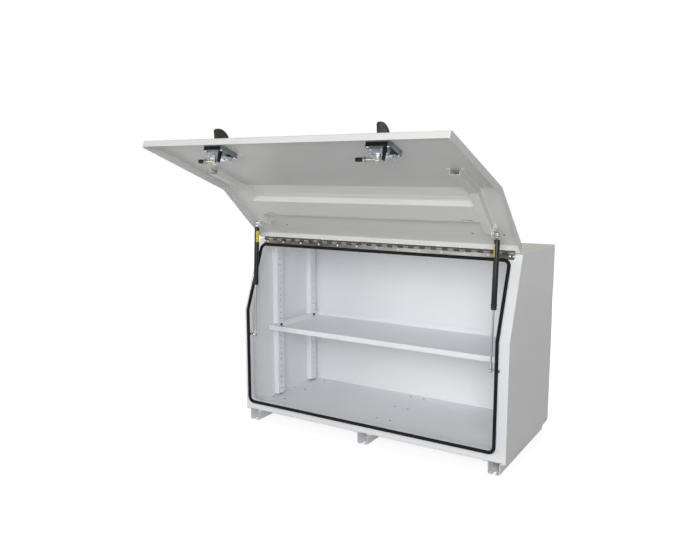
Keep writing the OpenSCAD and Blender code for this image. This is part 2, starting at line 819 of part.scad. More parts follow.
// Spindle with a clevis outside for the handle and a hub inside for the arm
module spindle() {
    difference() {
        union() {
            translate([0, -2, 0]) rotate([-90, 0, 0]) cylinder(d = 14, h = 44, $fn = 48);
            translate([-5, -pivot_h - 5, -7]) cube([10, pivot_h + 4, 14]);
            translate([0, 40, 0]) rotate([-90, 0, 0]) cylinder(d = 20, h = 14, $fn = 48);
            translate([0, 54, 0]) rotate([-90, 0, 0]) hex(13, 5);
        }
        translate([0, -pivot_h, 0]) cylinder(d = pivot_d, h = 20, center = true, $fn = 32);
        translate([0, rod_depth, 0]) rotate([0, -90, 0]) cylinder(d = arm_d, h = 11, $fn = 32);
    }
}

// Threaded arm with its lock nut, pointing towards -x while unlatched
module latch_arm() {
    translate([0, rod_depth, 0]) rotate([0, -90, 0]) {
        cylinder(d = arm_d, h = arm_l - 36, $fn = 32);
        cylinder(d = 8, h = arm_l - 12, $fn = 32);
        translate([0, 0, arm_l - 37]) hex(17, 7);
    }
}

module latch_sleeve() {
    translate([0, rod_depth, 0]) rotate([0, -90, 0]) translate([0, 0, arm_l - 30]) difference() {
        union() {
            cylinder(d = sleeve_d, h = 28, $fn = 48);
            translate([0, 0, 28]) cylinder(d1 = sleeve_d, d2 = sleeve_d - 4, h = 2, $fn = 48);
        }
        translate([0, 0, -1]) cylinder(d = 8, h = 19, $fn = 32);
    }
}

module handle_pin() {
    translate([0, -pivot_h, 0]) cylinder(d = pivot_d, h = 36, center = true, $fn = 32);
}

// Whale-tail handle: a curved crown on two arms that straddle the spindle's clevis
module handle() {
    big = 62;
    translate([0, -pivot_h, 0]) difference() {
        rotate([0, 0, 180]) rotate([0, -90, 0]) {
            translate([0, 0, -5]) linear_extrude(10) intersection() {
                difference() {
                    translate([0, handle_h - pivot_h - big]) circle(big, $fn = 96);
                    translate([0, handle_h - pivot_h - big - 9]) circle(big - 4, $fn = 96);
                }
                translate([-handle_w / 2, 0]) square([handle_w, 80]);
            }
            translate([0, 0, -4]) linear_extrude(8) difference() {
                polygon([[-17, -4.5], [17, -4.5], [33, handle_h - pivot_h - 21], [0, handle_h - pivot_h - 11],
                         [-33, handle_h - pivot_h - 21]]);
                translate([-7.4, -5]) square([14.8, 21]);
            }
        }
        cylinder(d = pivot_d + 2 * slide_play, h = 60, center = true, $fn = 32);
    }
}

module left_latch_frame() {
    color("#7f8b8c") latch_at(-1) latch_frame();
}

module right_latch_frame() {
    color("#7f8b8c") latch_at(1) latch_frame();
}

module left_latch_dish() {
    color("#202020") latch_at(-1) latch_dish();
}

module right_latch_dish() {
    color("#202020") latch_at(1) latch_dish();
}

module left_latch_housing() {
    color("#a8b4bc") latch_at(-1) latch_housing();
}

module right_latch_housing() {
    color("#a8b4bc") latch_at(1) latch_housing();
}

module left_latch_screws() {
    color("lightgray") latch_at(-1) latch_screws();
}

module right_latch_screws() {
    color("lightgray") latch_at(1) latch_screws();
}

module left_spindle() {
    color("#a8b4bc") latch_at(-1) spindle();
}

module right_spindle() {
    color("#a8b4bc") latch_at(1) spindle();
}

module left_latch_arm() {
    color("#b0a070") latch_at(-1) latch_arm();
}

module right_latch_arm() {
    color("#b0a070") latch_at(1) latch_arm();
}

module left_latch_sleeve() {
    color("#202020") latch_at(-1) latch_sleeve();
}

module right_latch_sleeve() {
    color("#202020") latch_at(1) latch_sleeve();
}

module left_handle_pin() {
    color("lightgray") latch_at(-1) handle_pin();
}

module right_handle_pin() {
    color("lightgray") latch_at(1) handle_pin();
}

module left_handle() {
    color("#202020") latch_at(-1) handle();
}

module right_handle() {
    color("#202020") latch_at(1) handle();
}

left_side();
right_side();
body_wrap();
front_frame();
door_flange();
door_seal();
left_foot();
centre_foot();
right_foot();
foot_rivets();
shelf();
left_front_strip();
left_rear_strip();
right_front_strip();
right_rear_strip();
shelf_bolts();
body_leaf();
hinge_pin();
leaf_screws();
left_ball_stud();
right_ball_stud();
lid_skin();
lid_leaf();
lid_leaf_rivets();
left_channel();
right_channel();
cross_channel();
lid_rivets();
left_bracket();
right_bracket();
left_upper_stud();
right_upper_stud();
left_rod();
left_rod_end();
left_cylinder();
left_collar();
left_top_end();
right_rod();
right_rod_end();
right_cylinder();
right_collar();
right_top_end();
left_latch_frame();
left_latch_dish();
left_latch_housing();
left_latch_screws();
left_spindle();
left_latch_arm();
left_latch_sleeve();
left_handle_pin();
left_handle();
right_latch_frame();
right_latch_dish();
right_latch_housing();
right_latch_screws();
right_spindle();
right_latch_arm();
right_latch_sleeve();
right_handle_pin();
right_handle();
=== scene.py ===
"""Looks of the three-footed aluminium toolbox with its fold-up lid. The solids come from the frame; the
pieces made here stand for those whose real form shows more: seal, latches, gas struts, hinge leaf and
the heads of rivets and screws."""
from math import atan2, cos, hypot, pi, radians, sin, tan

import bpy
import numpy as np
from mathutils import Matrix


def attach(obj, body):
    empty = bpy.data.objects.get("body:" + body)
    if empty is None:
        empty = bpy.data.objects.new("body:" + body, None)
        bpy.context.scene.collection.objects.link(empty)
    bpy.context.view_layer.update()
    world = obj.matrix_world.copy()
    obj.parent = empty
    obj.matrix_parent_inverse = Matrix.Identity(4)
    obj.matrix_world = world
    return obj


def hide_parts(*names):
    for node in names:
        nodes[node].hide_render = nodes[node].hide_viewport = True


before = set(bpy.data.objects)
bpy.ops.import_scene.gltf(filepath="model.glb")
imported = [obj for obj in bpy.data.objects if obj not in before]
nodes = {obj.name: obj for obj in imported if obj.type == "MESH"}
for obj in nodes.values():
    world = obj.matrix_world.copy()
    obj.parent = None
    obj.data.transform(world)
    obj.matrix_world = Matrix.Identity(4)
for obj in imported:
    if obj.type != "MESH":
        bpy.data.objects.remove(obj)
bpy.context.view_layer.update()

# Lengths repeated from the construction, in metres, and angles in radians
BODY_W, BODY_D, BODY_H = 1.280, 0.585, 0.805
FOOT_H, FOLD_H, SETBACK = 0.050, 0.483, 0.125
SHEET = 0.0025
DOOR_X, DOOR_R = 0.600, 0.024
SEAL_UP, SEAL_DOWN, SEAL_W = 0.0485, 0.033, 0.012
LID_OFF = 0.036
OPEN_A = radians(110.5)
BARREL_R, LEAF_T, LEAF_W, LEAF_HEM = 0.0045, 0.0015, 0.025, 0.0105
KNUCKLES, LEAF_IN, LEAF_GAP = 48, 0.031, 0.0006
LATCH_X, LATCH_UP, ARM_L, ARM_IN = 0.345, 0.103, 0.082, 0.047
PIVOT_H, HANDLE_H, HANDLE_W = 0.0095, 0.078, 0.082
STRUT_X, LOW_Y, LOW_Z, LEAN = 0.572, -0.3045, 0.421, radians(3.42435)
CYL_TOP, CYL_L, CYL_R = 0.519816, 0.265304, 0.011
CYL_Z = CYL_TOP - 0.022 - CYL_L
FRONT_Y = -BODY_D / 2
FOLD_Z = FOOT_H + FOLD_H
SLOPE_A = atan2(SETBACK, BODY_H - FOLD_H)
SLOPE_L = hypot(SETBACK, BODY_H - FOLD_H)
HINGE_S = SLOPE_L + 0.001
HINGE_Y = FRONT_Y + HINGE_S * sin(SLOPE_A) - BARREL_R * cos(SLOPE_A)
HINGE_Z = FOLD_Z + HINGE_S * cos(SLOPE_A) + BARREL_R * sin(SLOPE_A)
RETURN_Z = HINGE_Z + BARREL_R - LEAF_T
LID_Y = FRONT_Y - LID_OFF
LID_FOLD_Z = FOLD_Z + LID_OFF * tan(SLOPE_A / 2)
SEAL_FRONT = LID_OFF - SHEET - 0.00035
SLOPE_UP = np.array([0, sin(SLOPE_A), cos(SLOPE_A)])
SLOPE_OUT = np.array([0, -cos(SLOPE_A), sin(SLOPE_A)])


# Surfaces

def grid_mesh(points, wrap_rows=False, wrap_columns=False):
    """Quads over a grid: corner (i, j) joins (i+1, j), (i+1, j+1) and (i, j+1), wrapping round where the
    grid is closed that way. Returns the grid's points as rows and the quads' corner numbers."""
    rows, columns = points.shape[:2]
    i = np.arange(rows if wrap_rows else rows - 1)
    j = np.arange(columns if wrap_columns else columns - 1)
    i, j = np.meshgrid(i, j, indexing="ij")
    i2, j2 = (i + 1) % rows, (j + 1) % columns
    quads = np.stack([i * columns + j, i2 * columns + j, i2 * columns + j2, i * columns + j2], -1)
    return points.reshape(-1, 3), quads.reshape(-1, 4)


def piece(name, parts, crease=None):
    """Puts one or more (points, quads) or (points, quads, caps) parts into a mesh object at the origin,
    shaded smooth except over edges sharper than `crease` degrees. A cap is one many-sided face."""
    points, quads, caps, start = [], [], [], 0
    for p, q, *rest in parts:
        points.append(p)
        quads.append(q + start)
        caps += [np.asarray(cap) + start for cap in (rest[0] if rest else [])]
        start += len(p)
    points, quads = np.concatenate(points), np.concatenate(quads)
    corners = np.concatenate([quads.ravel()] + caps)
    sizes = np.concatenate([np.full(len(quads), 4)] + [[len(cap)] for cap in caps]).astype(int)
    starts = np.concatenate([[0], np.cumsum(sizes)[:-1]])
    mesh = bpy.data.meshes.new(name)
    mesh.vertices.add(len(points))
    mesh.vertices.foreach_set("co", points.astype(np.float32).ravel())
    mesh.loops.add(len(corners))
    mesh.loops.foreach_set("vertex_index", corners.astype(np.int32))
    mesh.polygons.add(len(sizes))
    mesh.polygons.foreach_set("loop_start", starts.astype(np.int32))
    mesh.polygons.foreach_set("use_smooth", np.ones(len(sizes), bool))
    mesh.update(calc_edges=True)
    mesh.validate()
    thing = bpy.data.objects.new(name, mesh)
    bpy.context.scene.collection.objects.link(thing)
    if crease:
        mesh.set_sharp_from_angle(angle=radians(crease))
    return thing


def lathe(profile, sides=48):
    """Turns (radius, height) pairs about the height axis: x = r cos t, y = r sin t, z = h. Its first and
    last rows shrink to a hair's width, which closes the form at its poles."""
    profile = np.asarray(profile, float)
    turn = np.linspace(0, 2 * pi, sides, endpoint=False)
    r, h = np.maximum(profile[:, :1], 1e-5), profile[:, 1:]
    return np.stack([r * np.cos(turn), r * np.sin(turn), h + 0 * turn], -1)


def slab(outline, half, edge, steps=4):
    """A plate with rounded rims from a closed, counter-clockwise (u, v) outline: at angle a of the rim
    the outline is drawn in by edge (1 - cos a) along its corners' bisectors and lies half - edge +
    edge sin a from the middle plane. The two flat faces are single caps. Points are (u, v, w)."""
    line = np.array(outline, float)
    before, after = line - np.roll(line, 1, 0), np.roll(line, -1, 0) - line
    before /= np.linalg.norm(before, axis=1, keepdims=True)
    after /= np.linalg.norm(after, axis=1, keepdims=True)
    left = np.stack([-before[:, 1] - after[:, 1], before[:, 0] + after[:, 0]], -1)
    left /= np.maximum((left ** 2).sum(1, keepdims=True) / 2, 0.35)
    a = np.linspace(0, pi / 2, steps + 1)
    inward = edge * (1 - np.cos(np.concatenate([a[::-1], a])))[:, None, None]
    height = np.concatenate([-(half - edge + edge * np.sin(a[::-1])), half - edge + edge * np.sin(a)])
    flat = line[None] + inward * left[None]
    points = np.concatenate([flat, np.broadcast_to(height[:, None, None], flat.shape[:2] + (1,))], -1)
    count = len(line)
    verts, quads = grid_mesh(points, False, True)
    caps = [np.arange(count)[::-1], (len(height) - 1) * count + np.arange(count)]
    return verts, quads[:, ::-1], caps


def rounded(corners, radius, steps=4):
    """Rounds each inner corner of a line of (u, v) points with an arc of `radius`: the arc is the
    quadratic blend between the points `radius` before and after the corner."""
    out = [np.array(corners[0], float)]
    for a, b, c in zip(corners[:-2], corners[1:-1], corners[2:]):
        a, b, c = (np.array(p, float) for p in (a, b, c))
        before, after = b - a, c - b
        r = min(radius, 0.49 * np.linalg.norm(before), 0.49 * np.linalg.norm(after))
        p, q = b - before / np.linalg.norm(before) * r, b + after / np.linalg.norm(after) * r
        for k in np.linspace(0, 1, steps + 1):
            out.append((1 - k) ** 2 * p + 2 * k * (1 - k) * b + k * k * q)
    out.append(np.array(corners[-1], float))
    return out


def closed_round(corners, radius, steps=4):
    """Rounds every corner of a closed outline as `rounded` does, starting and ending in the middle of
    its first side."""
    corners = [np.array(c, float) for c in corners]
    middle = (corners[0] + corners[1]) / 2
    return np.array(rounded([middle] + corners[1:] + [corners[0], middle], radius, steps)[:-1])


def aimed(points, origin, axis, side=(1, 0, 0)):
    """Carries points drawn about z to `origin`, with their z along `axis` and their x near `side`."""
    z = np.array(axis, float)
    z /= np.linalg.norm(z)
    y = np.cross(z, np.array(side, float))
    y /= np.linalg.norm(y)
    x = np.cross(y, z)
    return points[..., :1] * x + points[..., 1:2] * y + points[..., 2:] * z + np.array(origin, float)


def hex_nut(flat, start, heights, limits):
    """Hexagon nut about z: at angle t its radius is flat / cos t, repeated over each sixth of a turn, and
    no more than its level's limit, which cuts the corners back to a cone and closes the ends."""
    turn = np.linspace(0, 2 * pi, 48, endpoint=False)
    hexagon = flat / np.cos((turn + pi / 6) % (pi / 3) - pi / 6)
    r = np.minimum(hexagon, np.array(limits)[:, None])
    return np.stack([r * np.cos(turn), r * np.sin(turn), np.array(heights)[:, None] + start + 0 * turn], -1)


def latch_point(side, x, depth, up):
    """A place on the closed lid, told from a latch's spindle: across, into the lid and up it."""
    return ((-1 if side == "left" else 1) * LATCH_X + x, LID_Y + depth, FOOT_H + LATCH_UP + up)


def swung(points):
    """Swings points of the closed lid open about the hinge pin, which runs along x."""
    y, z = points[..., 1] - HINGE_Y, points[..., 2] - HINGE_Z
    c, s = cos(OPEN_A), sin(OPEN_A)
    return np.stack([points[..., 0], HINGE_Y + y * c + z * s, HINGE_Z - y * s + z * c], -1)


# Finishes

def blank(name, metallic, roughness, colour):
    """A material with its Principled shader, whose constants are set on the shader itself."""
    made = bpy.data.materials.new(name)
    made.use_nodes = True
    shader = made.node_tree.nodes["Principled BSDF"]
    shader.inputs["Base Color"].default_value = (*colour, 1)
    shader.inputs["Metallic"].default_value = metallic
    shader.inputs["Roughness"].default_value = roughness
    made.diffuse_color = (*colour, 1)
    return made, made.node_tree, shader


def put(tree, kind, settings=(), **inputs):
    """Adds a node, sets its options and its sockets, linking those given as another node's output. i0
    and i1 are sockets by number."""
    made = tree.nodes.new("ShaderNode" + kind)
    for key, value in dict(settings).items():
        setattr(made, key, value)
    for key, value in inputs.items():
        socket = made.inputs[int(key[1:]) if key[0] == "i" and key[1:].isdigit() else key.replace("_", " ")]
        if hasattr(value, "is_output"):
            tree.links.new(value, socket)
        else:
            socket.default_value = value
    return made


def place_noise(tree, scale, detail, stretch=(1, 1, 1), roughness=0.5):
    """Noise over the object's own coordinates, stretched along its axes by a Mapping node."""
    where = put(tree, "TexCoord")
    laid = put(tree, "Mapping", Vector=where.outputs["Object"], Scale=stretch)
    return put(tree, "TexNoise", Vector=laid.outputs[0], Scale=scale, Detail=detail,
               Roughness=roughness).outputs["Fac"]


def ramp(tree, value, *stops):
    """A colour ramp through (place, colour) stops."""
    made = put(tree, "ValToRGB", Fac=value)
    bar = made.color_ramp.elements
    while len(bar) < len(stops):
        bar.new(0.5)
    for stop, (at, colour) in zip(bar, stops):
        stop.position = at
        stop.color = (*colour, 1)
    return made.outputs["Color"]


def spread(tree, value, low, high):
    """Maps the middle of the noise's range to low..high."""
    return put(tree, "MapRange", Value=value, From_Min=0.3, From_Max=0.7, To_Min=low,
               To_Max=high).outputs[0]


def edge_highlight_mask(tree, radius, strength):
    """How far the surface is from flat within `radius`: one minus the dot product of the rounded and the
    true normal, so that it rises along edges only. The materials paint a highlight along their edges by
    it; its second output is the softened normal."""
    soft = put(tree, "Bevel", {"samples": 4}, Radius=radius)
    true = put(tree, "NewGeometry")
    dot = put(tree, "VectorMath", {"operation": "DOT_PRODUCT"}, i0=soft.outputs[0],
              i1=true.outputs["Normal"])
    return put(tree, "MapRange", Value=dot.outputs["Value"], From_Min=1.0, From_Max=0.86, To_Min=0.0,
               To_Max=strength).outputs[0], soft.outputs[0]


def mixed(tree, amount, a, b):
    """Colour a where amount is 0 and b where it is 1."""
    made = put(tree, "Mix", {"data_type": "RGBA"})
    for socket, value in ((made.inputs[0], amount), (made.inputs[6], a), (made.inputs[7], b)):
        if hasattr(value, "is_output"):
            tree.links.new(value, socket)
        else:
            socket.default_value = (*value, 1) if isinstance(value, tuple) else value
    return made.outputs[2]


def surfaced(tree, shader, colour, gloss, texture, strength, distance, **soft):
    """Gives the shader its colour, its roughness and a bump, over the softened normal where there is
    one."""
    if colour is not None:
        tree.links.new(colour, shader.inputs["Base Color"])
    tree.links.new(gloss, shader.inputs["Roughness"])
    bumped = put(tree, "Bump", Height=texture, Strength=strength, Distance=distance, **soft)
    tree.links.new(bumped.outputs[0], shader.inputs["Normal"])


def powder_coat(name, tone, shade, edge, top=None):
    """White powder coat over the folded sheet: a faint cloud of handling marks, the fine pitted texture
    of the baked powder in bump and gloss, and a painted highlight, a lighter line along each edge. The
    box's upper face, all that is within a millimetre of its full height, can take a darker tone of painted
    shade and reflection."""
    made, tree, shader = blank(name, 0.0, 0.36, tone)
    shader.inputs["Specular IOR Level"].default_value = 0.22
    cloud = place_noise(tree, 2.6, 4)
    pits = place_noise(tree, 620.0, 2, roughness=0.55)
    smudge = place_noise(tree, 11.0, 5, roughness=0.65)
    toned = ramp(tree, cloud, (0.30, shade), (0.62, tone))
    # Painted shade and reflection: within a millimetre of the box's full height the coat turns to the darker
    # top tone.
    if top:
        height = put(tree, "SeparateXYZ", Vector=put(tree, "TexCoord").outputs["Object"]).outputs["Z"]
        over = put(tree, "MapRange", Value=height, From_Min=FOOT_H + BODY_H - 0.0014,
                   From_Max=FOOT_H + BODY_H - 0.0008).outputs[0]
        toned = mixed(tree, over, toned, top)
    # Painted highlight: the lighter edge tone is mixed in along every edge.
    edge_highlight, soft = edge_highlight_mask(tree, 0.0009, 0.7)
    surfaced(tree, shader, mixed(tree, edge_highlight, toned, edge), spread(tree, smudge, 0.30, 0.42), pits, 0.16,
             0.0003, Normal=soft)
    return made


def plated(name, low, high, metallic, rough, scale=70.0, bump=0.03, edge=None, radius=0.0006):
    """Small steel or cast pieces: mottled plating between two tones, with softened edges and a painted
    highlight along them in the `edge` tone, which is the lighter tone when none is given.
    """
    made, tree, shader = blank(name, metallic, rough[0], low)
    mottle = place_noise(tree, scale, 4, roughness=0.6)
    tone = ramp(tree, mottle, (0.32, low), (0.68, high))
    # Painted highlight: the edge tone, lighter than the plating, is mixed in along every edge.
    edge_highlight, soft = edge_highlight_mask(tree, radius, 0.8)
    surfaced(tree, shader, mixed(tree, edge_highlight, tone, edge or high), spread(tree, mottle, *rough), mottle,
             bump, 0.0006, Normal=soft)
    return made


def hinge_metal(name, low, high, knuckle_low, knuckle_high, right_reflection=0.0):
    """Rolled steel hinge: a brushed leaf with patches of painted dark reflection in a warm tone, and another
    tone on the knuckles, wherever the surface is no more than their radius from the pin's axis; that tone
    paints light and shade on them.
    The length of its place across that axis tells which. On the right half of the length the leaf's tones
    give way to a painted light reflection, by the amount given last."""
    made, tree, shader = blank(name, 0.85, 0.34, (0.3, 0.3, 0.28))
    where = put(tree, "TexCoord")
    across = put(tree, "Mapping", Vector=where.outputs["Object"], Scale=(0, 1, 1),
                 Location=(0, -HINGE_Y, -HINGE_Z))
    away = put(tree, "VectorMath", {"operation": "LENGTH"}, i0=across.outputs[0])
    barrel = put(tree, "MapRange", Value=away.outputs["Value"], From_Min=BARREL_R + 0.0002,
                 From_Max=BARREL_R + 0.0010, To_Min=1.0, To_Max=0.0)
    brushed = place_noise(tree, 60.0, 4, (0.12, 1, 1), 0.6)
    # Painted reflection: patches where the leaf takes a dark warm tone, standing for the dark surroundings
    # mirrored in the steel.
    bloom = place_noise(tree, 9.0, 4, (1, 1, 1), 0.65)
    leaf = ramp(tree, brushed, (0.3, low), (0.7, high))
    dark_reflection = ramp(tree, brushed, (0.3, (0.060, 0.049, 0.036)), (0.7, (0.13, 0.110, 0.085)))
    amount = put(tree, "MapRange", Value=bloom, From_Min=0.42, From_Max=0.64).outputs[0]
    # Painted light and shade: the knuckles get a tone of their own, darker on the body's half and lighter on
    # the lid's.
    knuckles = ramp(tree, brushed, (0.3, knuckle_low), (0.7, knuckle_high))
    along = put(tree, "SeparateXYZ", Vector=where.outputs["Object"]).outputs["X"]
    place = put(tree, "MapRange", Value=along, From_Min=-BODY_W / 2, From_Max=BODY_W / 2).outputs[0]
    # Painted reflection: over the right half of the length the leaf turns to a lighter tone, for lighter
    # surroundings mirrored there.
    reflection_fade = ramp(tree, place, (0.30, (0, 0, 0)), (0.58, (right_reflection,) * 3), (0.86, (right_reflection,) * 3),
                 (0.93, (0, 0, 0)))
    light_reflection = ramp(tree, brushed, (0.3, (0.56, 0.555, 0.55)), (0.7, (0.72, 0.72, 0.72)))
    leaves = mixed(tree, reflection_fade, mixed(tree, amount, leaf, dark_reflection), light_reflection)
    toned = mixed(tree, barrel.outputs[0], leaves, knuckles)
    surfaced(tree, shader, toned, spread(tree, brushed, 0.24, 0.40), brushed, 0.05, 0.0005)
    return made


def chrome(name, colour, rough):
    """Ground and chromed bar: a mirror with the faintest rings of grinding across its length."""
    made, tree, shader = blank(name, 1.0, rough, colour)
    rings = place_noise(tree, 30.0, 2, (1, 1, 40))
    surfaced(tree, shader, None, spread(tree, rings, rough * 0.7, rough * 1.5), rings, 0.02, 0.0004)
    return made


def rubber(name, low, high, rough=(0.52, 0.72)):
    """Extruded rubber: near black, with a dusty bloom and a slight skin texture."""
    made, tree, shader = blank(name, 0.0, 0.6, low)
    shader.inputs["Specular IOR Level"].default_value = 0.12
    dust = place_noise(tree, 14.0, 5, roughness=0.6)
    skin = place_noise(tree, 900.0, 2)
    surfaced(tree, shader, ramp(tree, dust, (0.35, low), (0.75, high)), spread(tree, dust, *rough), skin,
             0.12, 0.0003)
    return made


def enamel(name, low, high, rough=(0.22, 0.34), edge=(0.2, 0.2, 0.2), peel=0.05):
    """Stoved paint: smooth with a little orange peel, and a lighter line where edges catch light."""
    made, tree, shader = blank(name, 0.0, rough[0], low)
    shader.inputs["Specular IOR Level"].default_value = 0.25
    dust = place_noise(tree, 25.0, 4, roughness=0.6)
    orange = place_noise(tree, 420.0, 2)
    # Painted highlight: the edge tone is mixed in along edges, where they catch light.
    edge_highlight, soft = edge_highlight_mask(tree, 0.0008, 0.25)
    tone = ramp(tree, dust, (0.35, low), (0.7, high))
    surfaced(tree, shader, mixed(tree, edge_highlight, tone, edge), spread(tree, dust, *rough), orange, peel, 0.0004,
             Normal=soft)
    return made


# Painted shade and reflection: the top tone darkens the box's upper face to a warm taupe, for the raised
# lid's shadow over it and the dark surroundings it mirrors.
body_coat = powder_coat("body_coat", (0.880, 0.888, 0.910), (0.862, 0.870, 0.894), (0.93, 0.94, 0.96),
                        top=(0.48, 0.445, 0.370))
# Painted shade: a darker copy of the white coat for the right side panel, for the shade it stands in.
shaded_side_coat = powder_coat("shaded_side_coat", (0.786, 0.786, 0.790), (0.770, 0.770, 0.774), (0.93, 0.93, 0.94))
# Painted shade: a darker, slightly warmer copy of the white coat for the lid and its channels, for the shade
# under the raised lid.
shaded_lid_coat = powder_coat("shaded_lid_coat", (0.700, 0.696, 0.682), (0.682, 0.678, 0.664), (0.88, 0.88, 0.87))
shelf_coat = powder_coat("shelf_coat", (0.885, 0.908, 0.938), (0.868, 0.892, 0.922), (0.93, 0.95, 0.97))
# Lit and shaded copies of one rolled steel. The body's leaf and knuckles are painted dark for the dark
# surroundings they reflect and the shade on the barrel, with a painted light reflection on the right. The
# lid's leaf is painted darker for its shadowed strip, and its knuckles lighter as painted highlights.
hinge_steel = hinge_metal("hinge_steel", (0.10, 0.095, 0.085), (0.21, 0.20, 0.185),
                          (0.055, 0.048, 0.040), (0.14, 0.13, 0.115), 0.8)
lid_hinge_steel = hinge_metal("lid_hinge_steel", (0.055, 0.050, 0.038), (0.12, 0.11, 0.09),
                              (0.20, 0.19, 0.17), (0.42, 0.41, 0.38))
lid_bracket_coat = powder_coat("lid_bracket_coat", (0.86, 0.86, 0.86), (0.84, 0.84, 0.84),
                               (0.93, 0.93, 0.93))
rivet_metal = plated("rivet_metal", (0.62, 0.63, 0.65), (0.78, 0.79, 0.80), 0.9, (0.22, 0.36), 160.0)
grey_rivets = plated("grey_rivets", (0.20, 0.20, 0.21), (0.34, 0.34, 0.35), 0.6, (0.35, 0.5), 160.0)
dark_bolts = plated("dark_bolts", (0.05, 0.05, 0.055), (0.12, 0.12, 0.13), 0.8, (0.35, 0.5), 200.0)
# The edge tones of the two zinc finishes are painted highlights, much lighter than the metal.
zinc_plate = plated("zinc_plate", (0.20, 0.25, 0.26), (0.36, 0.41, 0.40), 0.9, (0.22, 0.38), 46.0,
                    0.05, (0.70, 0.78, 0.80))
cast_zinc = plated("cast_zinc", (0.60, 0.68, 0.74), (0.80, 0.86, 0.90), 0.9, (0.18, 0.34), 60.0,
                   0.08, (0.92, 0.95, 0.97), 0.0009)
bright_zinc = plated("bright_zinc", (0.60, 0.61, 0.61), (0.78, 0.78, 0.77), 0.95, (0.16, 0.30), 120.0)
thread_steel = plated("thread_steel", (0.24, 0.22, 0.15), (0.46, 0.43, 0.34), 0.9, (0.28, 0.42), 150.0)
passivated = plated("passivated", (0.44, 0.46, 0.47), (0.60, 0.62, 0.62), 0.85, (0.24, 0.40), 90.0)
rod_chrome = chrome("rod_chrome", (0.36, 0.365, 0.375), 0.12)
ball_steel = chrome("ball_steel", (0.46, 0.46, 0.46), 0.18)
seal_rubber = rubber("seal_rubber", (0.006, 0.006, 0.007), (0.014, 0.014, 0.015))
sleeve_plastic = rubber("sleeve_plastic", (0.010, 0.010, 0.011), (0.020, 0.020, 0.021), (0.36, 0.5))
black_paint = enamel("black_paint", (0.010, 0.010, 0.011), (0.018, 0.018, 0.019))
handle_paint = enamel("handle_paint", (0.016, 0.011, 0.008), (0.034, 0.024, 0.017), (0.24, 0.38),
                      (0.20, 0.15, 0.11), 0.04)
dish_paint = enamel("dish_paint", (0.008, 0.008, 0.009), (0.015, 0.015, 0.016), (0.3, 0.45))
strut_paint = enamel("strut_paint", (0.004, 0.004, 0.004), (0.008, 0.008, 0.008), (0.14, 0.24),
                     (0.10, 0.10, 0.10), 0.02)
label_film = enamel("label_film", (0.62, 0.50, 0.02), (0.72, 0.60, 0.04), (0.3, 0.42), (0.8, 0.7, 0.2),
                    0.02)

COAT = {
    body_coat: ["body_wrap", "front_frame", "door_flange", "left_side", "left_foot", "centre_foot",
                "right_foot"],
    shaded_side_coat: ["right_side"],
    shelf_coat: ["shelf", "left_front_strip", "left_rear_strip", "right_front_strip", "right_rear_strip"],
    shaded_lid_coat: ["lid_skin", "left_channel", "right_channel", "cross_channel"],
    hinge_steel: ["body_leaf", "hinge_pin"],
    lid_hinge_steel: ["lid_leaf"],
    rivet_metal: ["leaf_screws", "lid_leaf_rivets"],
    grey_rivets: ["foot_rivets", "lid_rivets"],
    dark_bolts: ["shelf_bolts"],
    seal_rubber: ["door_seal"],
    lid_bracket_coat: ["left_bracket", "right_bracket"],
    passivated: ["left_upper_stud", "right_upper_stud"],
    ball_steel: ["left_ball_stud", "right_ball_stud", "left_rod_end", "right_rod_end", "left_top_end",
                 "right_top_end"],
    rod_chrome: ["left_rod", "right_rod"],
    black_paint: ["left_cylinder", "right_cylinder", "left_collar", "right_collar", "left_handle",
                  "right_handle"],
    sleeve_plastic: ["left_latch_sleeve", "right_latch_sleeve"],
    dish_paint: ["left_latch_dish", "right_latch_dish"],
    zinc_plate: ["left_latch_frame", "right_latch_frame"],
    cast_zinc: ["left_latch_housing", "right_latch_housing"],
    bright_zinc: ["left_latch_screws", "right_latch_screws", "left_spindle", "right_spindle",
                  "left_handle_pin", "right_handle_pin"],
    thread_steel: ["left_latch_arm", "right_latch_arm"],
}
for coat, names in COAT.items():
    for name in names:
        nodes[name].data.materials.clear()
        nodes[name].data.materials.append(coat)


def finished(thing, coat, body, slot_name, *replaced):
    """Gives a new piece its material and its body, and hides the solids that it stands for. Its slot name is
    not used.
    """
    thing.data.materials.append(coat)
    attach(thing, body)
    if replaced:
        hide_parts(*replaced)
    return thing


# Doorway seal

def doorway():
    """The seal's path over the unrolled front: a rectangle whose corners are quarter circles, as (x, s)
    with s up the sheet from the floor, and the way outwards at each point. Seven points on each upright
    within 6 mm of the fold let the rubber turn over it in a small arc."""
    low, high = SEAL_UP, FOLD_H + SLOPE_L - SEAL_DOWN
    bend = FOLD_H + np.linspace(-0.006, 0.006, 7)
    turn = np.linspace(0, pi / 2, 10)
    r = DOOR_R
    points, outs = [], []
    for side, first, second, start in ((1, low + r, high - r, -pi / 2), (-1, high - r, low + r, pi / 2)):
        for s, begin, levels in ((first, start, bend[::side]), (second, start + pi / 2, None)):
            out = np.stack([np.cos(begin + turn), np.sin(begin + turn)], -1)
            points.append(np.array([side * (DOOR_X - r), s]) + r * out)
            outs.append(out)
            if levels is not None:
                points.append(np.stack([np.full(7, side * DOOR_X), levels], -1))
                outs.append(np.tile([float(side), 0.0], (7, 1)))
    return np.concatenate(points), np.concatenate(outs)


